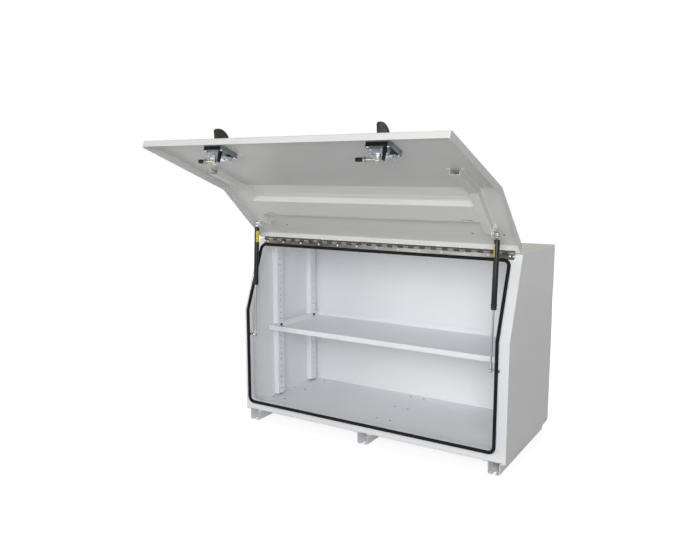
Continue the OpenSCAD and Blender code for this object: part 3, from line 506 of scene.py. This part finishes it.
def over_fold(x, s, u, v, out):
    """Folds the unrolled front: a point s up the sheet stands at front_y below the fold and leans back
    by the slope's angle above it; within 6 mm of the fold the lean grows smoothly. v is the distance in
    front of the sheet, u the distance outwards along `out`."""
    lean = SLOPE_A * np.clip((s - FOLD_H) / 0.012 + 0.5, 0, 1)
    dx, ds = out.T
    past = np.where(s > FOLD_H, SLOPE_A, 0.0)
    y = FRONT_Y + np.where(s > FOLD_H, (s - FOLD_H) * sin(SLOPE_A), 0.0)
    z = np.where(s > FOLD_H, FOLD_Z + (s - FOLD_H) * cos(SLOPE_A), FOOT_H + s)
    base = np.stack([x, y, z], -1)
    along = np.stack([dx, ds * np.sin(past), ds * np.cos(past)], -1)
    ahead = np.stack([0 * x, -np.cos(lean), np.sin(lean)], -1)
    return base[:, None] + u[None, :, None] * along[:, None] + v[None, :, None] * ahead[:, None]


def make_seal():
    """One closed rubber section carried round the doorway: two gripping legs with small ribs and a
    round bulb in front of them."""
    flange_out = SEAL_FRONT - 0.009
    bulb_v = SEAL_FRONT - SEAL_W / 2
    angle = np.linspace(-0.30 * pi, 1.30 * pi, 20)
    section = [(SEAL_W * 0.58 * cos(a), bulb_v + SEAL_W / 2 * sin(a)) for a in angle]
    left = [(-0.0052, flange_out + 0.0005), (-0.0046, flange_out - 0.0010), (-0.0052, flange_out - 0.0025),
            (-0.0046, flange_out - 0.0040), (-0.0036, flange_out - 0.0050), (-0.0014, flange_out - 0.0050)]
    section += left + [(-u, v) for u, v in left[::-1]]
    u, v = np.array(section).T
    where, out = doorway()
    points = over_fold(where[:, 0], where[:, 1], u, v, out)
    return finished(piece("seal_extrusion", [grid_mesh(points, True, True)], crease=50), seal_rubber,
                    "carcass", "seal_rubber", "door_seal")


make_seal()


# Latch arms

def on_spindle(form, side):
    """Lays a form drawn along z out from a latch's spindle, towards the left, on the open lid."""
    return swung(aimed(form, latch_point(side, 0, ARM_IN, 0), (-1, 0, 0), (0, 0, 1)))


def make_arm(side):
    """A thick threaded rod, turned down to its core inside the sleeve, with a lock nut: the thread's
    radius is 5.5 mm less a 0.9 mm triangle wave of (length / pitch - angle / turn)."""
    pitch, length = 0.00175, ARM_L - 0.036
    turn = np.linspace(0, 2 * pi, 32, endpoint=False)
    along = np.linspace(0, length, int(length / pitch * 7) + 1)[:, None]
    wave = np.abs(((along / pitch - turn / (2 * pi)) % 1.0) * 2 - 1)
    r = 0.0055 - 0.0009 * wave
    thread = np.stack([r * np.cos(turn), r * np.sin(turn), along + 0 * turn], -1)
    middle = np.array([0.001, 0.001, 1])
    thread = np.concatenate([thread[:1] * middle, thread, thread[-1:] * middle])
    core = lathe([(0, length - 0.001), (0.004, length - 0.001), (0.004, ARM_L - 0.0125),
                  (0.0035, ARM_L - 0.012), (0, ARM_L - 0.012)])
    nut = hex_nut(0.0085, ARM_L - 0.037, [0, 0, 0.0009, 0.0061, 0.007, 0.007],
                  [0.004, 0.0086, 0.0102, 0.0102, 0.0086, 0.004])
    parts = [grid_mesh(on_spindle(form, side), False, True) for form in (thread, core, nut)]
    return finished(piece(side + "_threaded_arm", parts, crease=35), thread_steel, side + "_spindle_body",
                    "zinc_plate", side + "_latch_arm")


def make_sleeve(side):
    """Moulded sleeve over the arm's end: a lathe form whose far end rounds off as a quarter ellipse."""
    start, end = ARM_L - 0.030, ARM_L
    curve = np.linspace(0, pi / 2, 9)
    profile = [(0.0042, start), (0.0068, start), (0.00725, start + 0.0005)]
    profile += [(0.0032 + 0.00405 * cos(a), end - 0.0045 + 0.0045 * sin(a)) for a in curve]
    profile += [(0.0, end)]
    form = on_spindle(lathe(profile), side)
    return finished(piece(side + "_arm_sleeve", [grid_mesh(form, False, True)], crease=40), sleeve_plastic,
                    side + "_spindle_body", "black_plastic", side + "_latch_sleeve")


def make_handle(side):
    """Whale-tail handle in the plane of its swing, w across and h out. The crown lies between a 62 mm
    arc and a 58 mm arc 9 mm lower: at each w its section is a superellipse, high as the arcs are apart
    and 10 mm thick, and it shrinks as a quarter circle over the last 5 mm of each tip. The two legs are
    one slab with rounded rims that spreads up from the pin into the crown."""
    top, reach, tip = HANDLE_H - PIVOT_H, HANDLE_W / 2, 0.005
    across = np.concatenate([-reach + tip * (1 - np.cos(np.linspace(0, pi / 2, 9))),
                             np.linspace(-reach + tip, reach - tip, 31)[1:-1],
                             reach - tip + tip * np.sin(np.linspace(0, pi / 2, 9))])[:, None]
    outer = top - 0.062 + np.sqrt(0.062 ** 2 - across ** 2)
    inner = top - 0.071 + np.sqrt(0.058 ** 2 - across ** 2)
    size = np.sqrt(np.clip(1 - np.clip((np.abs(across) - reach + tip) / tip, 0, 1) ** 2, 0.0004, 1))
    turn = np.linspace(0, 2 * pi, 32, endpoint=False)
    out_way, side_way = (np.sign(wave) * np.abs(wave) ** 0.55 for wave in (np.sin(turn), np.cos(turn)))
    h = (outer + inner) / 2 + size * (outer - inner) / 2 * out_way
    t = 0.005 * size * side_way
    base = latch_point(side, 0, -PIVOT_H, 0)
    crown = np.stack([base[0] + t, base[1] - h, base[2] + across + 0 * t], -1)
    parts = [grid_mesh(swung(crown), False, True)]
    legs = closed_round([(-0.017, -0.0045), (-0.0074, -0.0045), (-0.0074, 0.016), (0.0074, 0.016),
                         (0.0074, -0.0045), (0.017, -0.0045), (0.0375, top - 0.0265), (0.031, top - 0.019),
                         (0, top - 0.010), (-0.031, top - 0.019), (-0.0375, top - 0.0265)], 0.003, 3)
    points, quads, caps = slab(legs, 0.004, 0.0014)
    w, h, t = points.T
    parts.append((swung(np.stack([base[0] + t, base[1] - h, base[2] + w], -1)), quads, caps))
    return finished(piece(side + "_whale_tail", parts, crease=50), handle_paint, side + "_handle_body",
                    "black_plastic", side + "_handle")


for side in ("left", "right"):
    make_arm(side)
    make_sleeve(side)
    make_handle(side)


# Gas struts

def in_strut(points, side):
    """Stands a form drawn up z from the lower ball in the strut's own lean; the left one is mirrored."""
    y, z = points[..., 1], points[..., 2]
    c, s = cos(LEAN), sin(LEAN)
    sign = -1 if side == "left" else 1
    return np.stack([sign * (STRUT_X + points[..., 0]), LOW_Y + y * c + z * s, LOW_Z - y * s + z * c], -1)


def strut_mesh(points, side, ring=True):
    """Quads of a form in the strut, turned the other way round where the side isn't mirrored."""
    verts, quads = grid_mesh(in_strut(points, side), False, ring)
    return verts, quads if side == "left" else quads[:, ::-1]


def make_gas_cylinder(side):
    """Gas cylinder turned from a profile: a rolled lip at the rod's guide, a shallow swaged groove above
    it, the long tube, and a shoulder that rounds off into the end's weld."""
    r, low, high = CYL_R, CYL_Z, CYL_Z + CYL_L
    curve = np.linspace(0, pi / 2, 7)
    profile = [(0.0043, low + 0.002), (0.0043, low + 0.0006), (0.0050, low)]
    profile += [(0.0085 + 0.0025 * sin(a), low + 0.0025 - 0.0025 * cos(a)) for a in curve]
    profile += [(r - 0.0007 * sin(pi * k), low + 0.0085 + 0.003 * k) for k in np.linspace(0, 1, 9)]
    profile += [(r, low + 0.03), (r, low + 0.12)]
    profile += [(r - 0.0022 + 0.0022 * cos(a), high - 0.0022 + 0.0022 * sin(a)) for a in curve]
    profile += [(0.0062, high), (0.0052, high + 0.0006), (0, high + 0.0006)]
    return finished(piece(side + "_gas_cylinder", [strut_mesh(lathe(profile, 64), side)], crease=40),
                    strut_paint, side + "_cylinder_body", "black_paint", side + "_cylinder")


def make_band(side):
    """Plain yellow film on the side of the tube that faces the doorway's middle: part of a cylinder
    0.12 mm proud, 130 degrees round and 50 mm long, with its rim brought down to the tube."""
    turn = np.linspace(pi - radians(60), pi + radians(70), 25)
    rise = np.array([0, 0.0004, 0.0496, 0.050])[:, None] + CYL_Z + CYL_L - 0.066
    proud = np.full((4, 25), CYL_R + 0.00012)
    proud[[0, -1]] = proud[:, [0, -1]] = CYL_R + 0.00002
    points = np.stack([proud * np.cos(turn), proud * np.sin(turn), rise + 0 * turn], -1)
    return finished(piece(side + "_yellow_band", [strut_mesh(points, side, False)]), label_film,
                    side + "_cylinder_body", "black_paint")


def make_ball_joint(side):
    """Top end of the strut: a 16 mm eye whose outline across the pin is a superellipse, on a turned neck
    with a nut and a threaded shank."""
    curve = np.linspace(-pi / 2, pi / 2, 25)
    eye = [(0.008 * cos(a) ** 0.7 if abs(a) < 1.57 else 0.0, 0.0065 * np.sign(a) * abs(sin(a)) ** 0.8)
           for a in curve]
    eye = aimed(lathe(eye), (0, 0, CYL_TOP), (1, 0, 0), (0, 1, 0))
    boss = aimed(lathe([(0, 0), (0.006, 0), (0.006, 0.0106), (0.0056, 0.011), (0, 0.011)]),
                 (0, 0, CYL_TOP), (-1, 0, 0), (0, 1, 0))
    waves = [(0.0045 - 0.00035 * (k % 2), CYL_TOP - 0.0218 + 0.0005 * k) for k in range(26)]
    neck = lathe([(0, CYL_TOP - 0.022)] + waves + [(0.0052, CYL_TOP - 0.0085), (0.0062, CYL_TOP - 0.006),
                                                   (0.0062, CYL_TOP), (0, CYL_TOP)])
    nut = hex_nut(0.0056, CYL_TOP - 0.016, [0, 0, 0.0006, 0.0044, 0.005, 0.005],
                  [0.0042, 0.0057, 0.0066, 0.0066, 0.0057, 0.0042])
    return finished(piece(side + "_ball_joint", [strut_mesh(form, side) for form in (eye, boss, neck, nut)],
                          crease=35), ball_steel, side + "_cylinder_body", "zinc_plate", side + "_top_end")


for side in ("left", "right"):
    make_gas_cylinder(side)
    make_band(side)
    make_ball_joint(side)


# Hinge leaf and channel ends

def make_lid_leaf():
    """The lid's half of the piano hinge, which grips the folded return's edge: a toothed plate behind
    the return and its narrow hem before it, whose teeth run into every second knuckle, and knuckles as
    closed rings of (radius, length) turned about the pin. A plate's outer corners are quarter
    circles."""
    half, step, gap = BODY_W / 2 - LEAF_IN, (BODY_W - 2 * LEAF_IN) / KNUCKLES, 0.00035
    root, tooth = -BARREL_R - LEAF_GAP, -0.0036
    parts = []
    for wide, corner, middle in ((LEAF_W, 0.008, RETURN_Z + LEAF_T / 2),
                                 (LEAF_HEM, 0.002, RETURN_Z - SHEET - LEAF_T / 2)):
        line = [(-half + corner, -wide), (half - corner, -wide)]
        line += [(half - corner + corner * cos(a), corner - wide + corner * sin(a)) for a in
                 np.linspace(-pi / 2, 0, 7)[1:]]
        line.append((half, root))
        for i in range(KNUCKLES - 1, 0, -2):
            x0, x1 = -half + i * step + gap / 2, -half + (i + 1) * step - gap / 2
            x1 = min(x1, half - 0.0002)
            line += [(x1, root), (x1, tooth), (x0, tooth), (x0, root)]
        line.append((-half, root))
        line += [(-half + corner - corner * cos(a), corner - wide - corner * sin(a)) for a in
                 np.linspace(0, pi / 2, 7)[:-1]]
        points, quads, caps = slab(line, LEAF_T / 2, 0.0003, 2)
        x, y, z = points.T
        parts.append((swung(np.stack([x, HINGE_Y + y, middle + z], -1)), quads, caps))
    long = step - gap
    ring = [(BARREL_R - 0.0003, 0), (BARREL_R, 0.0003), (BARREL_R, long / 2), (BARREL_R, long - 0.0003),
            (BARREL_R - 0.0003, long), (0.00235, long), (0.00235, long / 2), (0.00235, 0)]
    form = lathe(ring, 28)
    for i in range(1, KNUCKLES, 2):
        placed = aimed(form, (-half + i * step + gap / 2, HINGE_Y, HINGE_Z), (1, 0, 0), (0, 1, 0))
        parts.append(grid_mesh(swung(placed), True, True))
    return finished(piece("lid_hinge_leaf", parts, crease=35), lid_hinge_steel, "lid", "hinge_steel",
                    "lid_leaf")


def make_end_welds():
    """Painted weld beads that close each end of the cross channel against the upright channels: an oval
    6 mm by 5 mm carried along the end's outline, its size rippling as a sine of the length along it and
    tapering over the last 2 mm."""
    path = np.array(rounded([(0.0052, 0.1765), (0.0243, 0.1728), (0.0243, 0.0802), (0.0052, 0.0765)], 0.004))
    step = np.linalg.norm(np.diff(path, axis=0), axis=1)
    run = np.concatenate([[0], np.cumsum(step)])
    even = np.linspace(0, run[-1], 160)
    depth, up = np.interp(even, run, path[:, 0]), np.interp(even, run, path[:, 1])
    ahead = np.stack([np.gradient(depth), np.gradient(up)], -1)
    ahead /= np.linalg.norm(ahead, axis=1, keepdims=True)
    taper = np.clip(np.minimum(even, run[-1] - even) / 0.002, 0.02, 1)
    size = (1 + 0.07 * np.sin(even / 0.0032 * 2 * pi)) * taper
    turn = np.linspace(0, 2 * pi, 16, endpoint=False)
    wide = 0.0031 * size[:, None] * np.cos(turn)
    high = 0.0023 * size[:, None] * np.sin(turn)
    d = depth[:, None] + high * ahead[:, 1:]
    v = up[:, None] - high * ahead[:, :1]
    foot = np.array([0, LID_Y, LID_FOLD_Z])
    parts = []
    for sign in (-1, 1):
        closed = foot + v[..., None] * SLOPE_UP - d[..., None] * SLOPE_OUT
        closed[..., 0] += sign * 0.5091 + wide
        parts.append(grid_mesh(swung(closed), False, True))
    return finished(piece("cross_channel_welds", parts), shaded_lid_coat, "lid", "coated_aluminium")


make_lid_leaf()
make_end_welds()


# Rivets and screws

def rivet_profile(head, rise, grip, tail, shank=0.0024):
    """Blind rivet's half section: tail below the grip, shank, flat underside, an elliptical dome over
    the head's radius and the small pit that its broken mandrel leaves."""
    below = [(0, -grip - tail), (shank * 1.25, -grip - tail), (shank * 1.35, -grip - tail + 0.0004),
             (shank * 1.35, -grip)] if tail else [(0, -grip)]
    curve = np.linspace(0, radians(76), 8)
    dome = [(head * cos(a), rise * (0.15 + 0.85 * sin(a))) for a in curve]
    top = dome[-1][1]
    return below + [(shank, -grip), (shank, 0), (head, 0)] + dome + [(head * 0.2, top - rise * 0.3),
                                                                     (0, top - rise * 0.3)]


def rivets(name, coat, body, slot_name, node, *rows):
    """One piece of many rivets: each row gives a profile, a direction and the places it is set at."""
    parts = []
    for profile, axis, places in rows:
        form = lathe(profile, 24)
        side_way = (1, 0, 0) if abs(axis[0]) < 0.9 else (0, 1, 0)
        parts += [grid_mesh(aimed(form, place, axis, side_way), False, True) for place in places]
    return finished(piece(name, parts, crease=40), coat, body, slot_name, node)


def opened_way(way):
    """A direction of the closed lid, turned as the lid opens."""
    return swung(np.array([0, HINGE_Y, HINGE_Z]) + way) - (0, HINGE_Y, HINGE_Z)


def make_body_rivets():
    """Four rows of blind rivets through each flange of the feet, and the screws of the hinge's leaf."""
    across = BODY_W / 2 - 0.022 - 0.025
    back = (FRONT_Y + 0.015, FRONT_Y + 0.192, FRONT_Y + 0.370, -FRONT_Y - 0.037)
    rivets("foot_rivet_heads", grey_rivets, "carcass", "rivet_metal", "foot_rivets",
           (rivet_profile(0.00475, 0.0022, 0.005, 0.002), (0, 0, 1),
            [(x + flange, y, FOOT_H + SHEET) for x in (-across, 0, across) for flange in (-0.035, 0.035)
             for y in back]))
    line = np.array([0, FRONT_Y, FOLD_Z]) + (HINGE_S - 0.011) * SLOPE_UP + LEAF_T * SLOPE_OUT
    rivets("hinge_screw_heads", rivet_metal, "carcass", "rivet_metal", "leaf_screws",
           (rivet_profile(0.0045, 0.002, LEAF_T + SHEET, 0.002), SLOPE_OUT,
            [line + (x, 0, 0) for x in [i * 0.1 for i in range(-5, 6)] + [-0.604, -0.589, 0.589, 0.604]]))


def make_lid_rivets():
    """The rivets of the lid's hinge leaf, 95 mm apart, and the four that show on the lid's slope."""
    rivets("lid_leaf_rivet_heads", lid_bracket_coat, "lid", "rivet_metal", "lid_leaf_rivets",
           (rivet_profile(0.004, 0.0016, LEAF_T + SHEET, 0.0015), -opened_way((0, 0, 1)),
            [swung(np.array([i * 0.095, HINGE_Y - 0.014, RETURN_Z - SHEET])) for i in range(-6, 7)]))
    length = (RETURN_Z - LID_FOLD_Z) / cos(SLOPE_A)
    row = np.array([0, LID_Y, LID_FOLD_Z]) + (length - 0.069) * SLOPE_UP - SHEET * SLOPE_OUT
    rivets("lid_rivet_heads", grey_rivets, "lid", "rivet_metal", "lid_rivets",
           (rivet_profile(0.0045, 0.002, SHEET, 0.0015), -opened_way(SLOPE_OUT),
            [swung(row + (x, 0, 0)) for x in (-0.577, -0.448, 0.448, 0.577)]))


def make_latch_screws(side):
    """Four screws on the plate of a latch, seen from outside, and four on its housing inside."""
    out = opened_way((0, -1, 0))
    plate, inner = ([swung(np.array(latch_point(side, 0.015 + i * x, depth, j * up)))
                     for i in (-1, 1) for j in (-1, 1)]
                    for x, depth, up in ((0.0545, -0.002, 0.052), (0.038, 0.020, 0.038)))
    rivets(side + "_latch_screw_heads", bright_zinc, "lid", "zinc_plate", side + "_latch_screws",
           (rivet_profile(0.0045, 0.002, SHEET + 0.002, 0), out, plate),
           (rivet_profile(0.0045, 0.0024, 0.0025, 0), -out, inner))


make_body_rivets()
make_lid_rivets()
for side in ("left", "right"):
    make_latch_screws(side)


# Camera, floor and light

camera = bpy.data.objects.new("camera", bpy.data.cameras.new("camera"))
bpy.context.scene.collection.objects.link(camera)
camera.location = (1.4317, -2.7543, 1.1626)
camera.rotation_euler = (radians(90 - 8.55), 0, radians(31.24))
camera.data.lens = 35.38
camera.data.sensor_width = 36
camera.data.clip_end = 60
bpy.context.scene.camera = camera


def seen_rays(tree):
    """1 for camera, glossy and transmission rays, 0 for the rays that carry light to the object."""
    rays = put(tree, "LightPath")
    first = put(tree, "Math", {"operation": "MAXIMUM"}, i0=rays.outputs["Is Camera Ray"],
                i1=rays.outputs["Is Glossy Ray"])
    return put(tree, "Math", {"operation": "MAXIMUM"}, i0=first.outputs[0],
               i1=rays.outputs["Is Transmission Ray"]).outputs[0]


world = bpy.data.worlds.new("studio")
bpy.context.scene.world = world
world.use_nodes = True
sky = world.node_tree
background = sky.nodes["Background"]
heading = put(sky, "TexCoord")
toward = put(sky, "VectorMath", {"operation": "DOT_PRODUCT"}, i0=heading.outputs["Generated"],
             i1=(-0.42, -0.26, -0.16))
fill = put(sky, "MapRange", Value=toward.outputs["Value"], From_Min=-0.6, From_Max=0.6, To_Min=0.17,
           To_Max=0.52)
tint = ramp(sky, fill.outputs[0], (0.0, (0, 0, 0)), (1.0, (0.985, 0.995, 1.0)))
sky.links.new(mixed(sky, seen_rays(sky), tint, (1.0, 1.0, 1.0)), background.inputs["Color"])
background.inputs["Strength"].default_value = 1.0

floor_points = np.array([[[-9, -9, 0], [-9, 9, 0]], [[9, -9, 0], [9, 9, 0]]], float)
floor = piece("floor", [grid_mesh(floor_points)])
floor_paint = bpy.data.materials.new("floor_paint")
floor_paint.use_nodes = True
paint = floor_paint.node_tree
paint.nodes.remove(paint.nodes["Principled BSDF"])
matt = put(paint, "BsdfDiffuse", Color=(0.40, 0.40, 0.40, 1))
place = put(paint, "TexCoord")
away = put(paint, "VectorMath", {"operation": "LENGTH"}, i0=place.outputs["Object"])
brighter = put(paint, "MapRange", Value=away.outputs["Value"], From_Min=1.2, From_Max=3.6, To_Min=0.80,
               To_Max=1.0)
glow = put(paint, "Emission", Color=(1, 1, 1, 1), Strength=brighter.outputs[0])
clear = put(paint, "Emission", Color=(0, 0, 0, 1), Strength=0.0)
lit = put(paint, "MixShader", i0=seen_rays(paint), i1=clear.outputs[0], i2=glow.outputs[0])
summed = put(paint, "AddShader", i0=matt.outputs[0], i1=lit.outputs[0])
paint.links.new(summed.outputs[0], paint.nodes["Material Output"].inputs["Surface"])
floor.data.materials.append(floor_paint)


def softbox(name, place, aim, size, power):
    """A rectangular area lamp at `place`, turned to face `aim`: its tilt is the angle from straight down,
    and its turn the heading."""
    lamp = bpy.data.lights.new(name, "AREA")
    lamp.shape = "RECTANGLE"
    lamp.size, lamp.size_y = size
    lamp.energy = power
    thing = bpy.data.objects.new(name, lamp)
    bpy.context.scene.collection.objects.link(thing)
    thing.visible_camera = False
    thing.location = place
    ahead = np.array(aim, float) - np.array(place, float)
    thing.rotation_euler = (atan2(hypot(ahead[0], ahead[1]), -ahead[2]), 0, atan2(-ahead[0], ahead[1]))


softbox("key_box", (1.6, -4.4, 2.0), (0, 0, 0.40), (2.4, 1.8), 86)
softbox("inner_box", (1.5, -2.9, 1.0), (-0.6, 0, 0.40), (0.9, 0.9), 15)
softbox("back_box", (-0.6, 4.2, 0.42), (0, 0, 0.45), (3.0, 0.8), 85)
softbox("top_box", (0, 1.6, 3.4), (0, 0.1, 0.9), (2.4, 1.6), 26)
softbox("left_box", (-2.6, -3.4, 1.3), (0, 0, 0.6), (2.0, 2.0), 26)

bpy.context.scene.view_settings.view_transform = "Standard"
